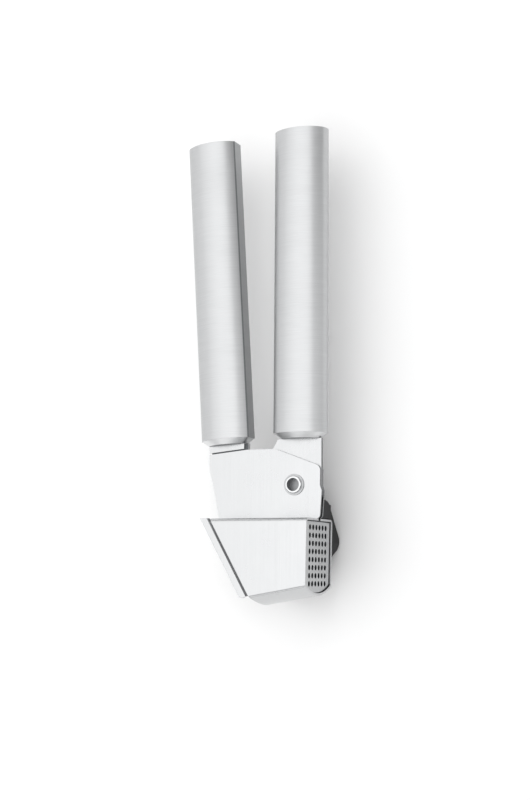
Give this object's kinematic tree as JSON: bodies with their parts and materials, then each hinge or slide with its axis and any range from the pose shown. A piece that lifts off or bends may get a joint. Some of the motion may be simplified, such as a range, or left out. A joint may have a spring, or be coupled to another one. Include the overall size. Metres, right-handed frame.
{
  "type": "garlic press",
  "caption": "Lever garlic press with two oval steel handles, a folded steel hopper with a perforated end, a swinging presser foot and a clip-on plastic cleaner.",
  "frame": {"origin": "middle of the outline seen along the pivot axis, on the level of the lowest point, which is the cleaner's cover", "axes": "+Z along the pivot rivet towards the side the press is seen from, +Y along the moving handle away from the hopper, +X towards the sieve"},
  "size_m": [0.0592, 0.1826, 0.0392],
  "materials": {
    "brushed_steel": "fine brushing across the handle",
    "cap_steel": "satin",
    "satin_steel": "bright satin sheet",
    "polished_steel": "polished",
    "sieve_steel": "matt sheet with punched holes",
    "black_plastic": "fine-textured moulding",
    "core_plastic": "plain moulding"
  },
  "bodies": {
    "hopper_lever": {"hopper_body": "satin_steel", "hopper_lip": "satin_steel", "sieve_plate": "sieve_steel", "fixed_tang": "satin_steel", "pivot_rivet": "polished_steel", "pivot_washers": "polished_steel", "fixed_handle_tube": "brushed_steel", "fixed_handle_top_cap": "cap_steel", "fixed_handle_end_cap": "cap_steel", "fixed_handle_core": "core_plastic", "fixed_tang_pins": "cap_steel"},
    "presser_lever": {"presser_arm": "satin_steel", "presser_foot": "satin_steel", "presser_bracket": "satin_steel", "bracket_rivets": "polished_steel", "moving_handle_tube": "brushed_steel", "moving_handle_top_cap": "cap_steel", "moving_handle_end_cap": "cap_steel", "moving_handle_core": "core_plastic", "moving_tang_pins": "cap_steel"},
    "cleaner": {"cleaner_cover": "black_plastic", "cleaner_comb": "black_plastic", "cleaner_clip": "black_plastic"}
  },
  "joints": [
    {"name": "presser_hinge", "type": "hinge", "parent": "hopper_lever", "child": "presser_lever", "pos_m": [0.01701, -0.04624, 0.025], "axis": [0, 0, 1], "range_deg": [-50, 4]},
    {"name": "cleaner_lift", "type": "slide", "parent": "hopper_lever", "child": "cleaner", "axis": [0, 0, -1], "range_m": [0, 0.02]}
  ]
}
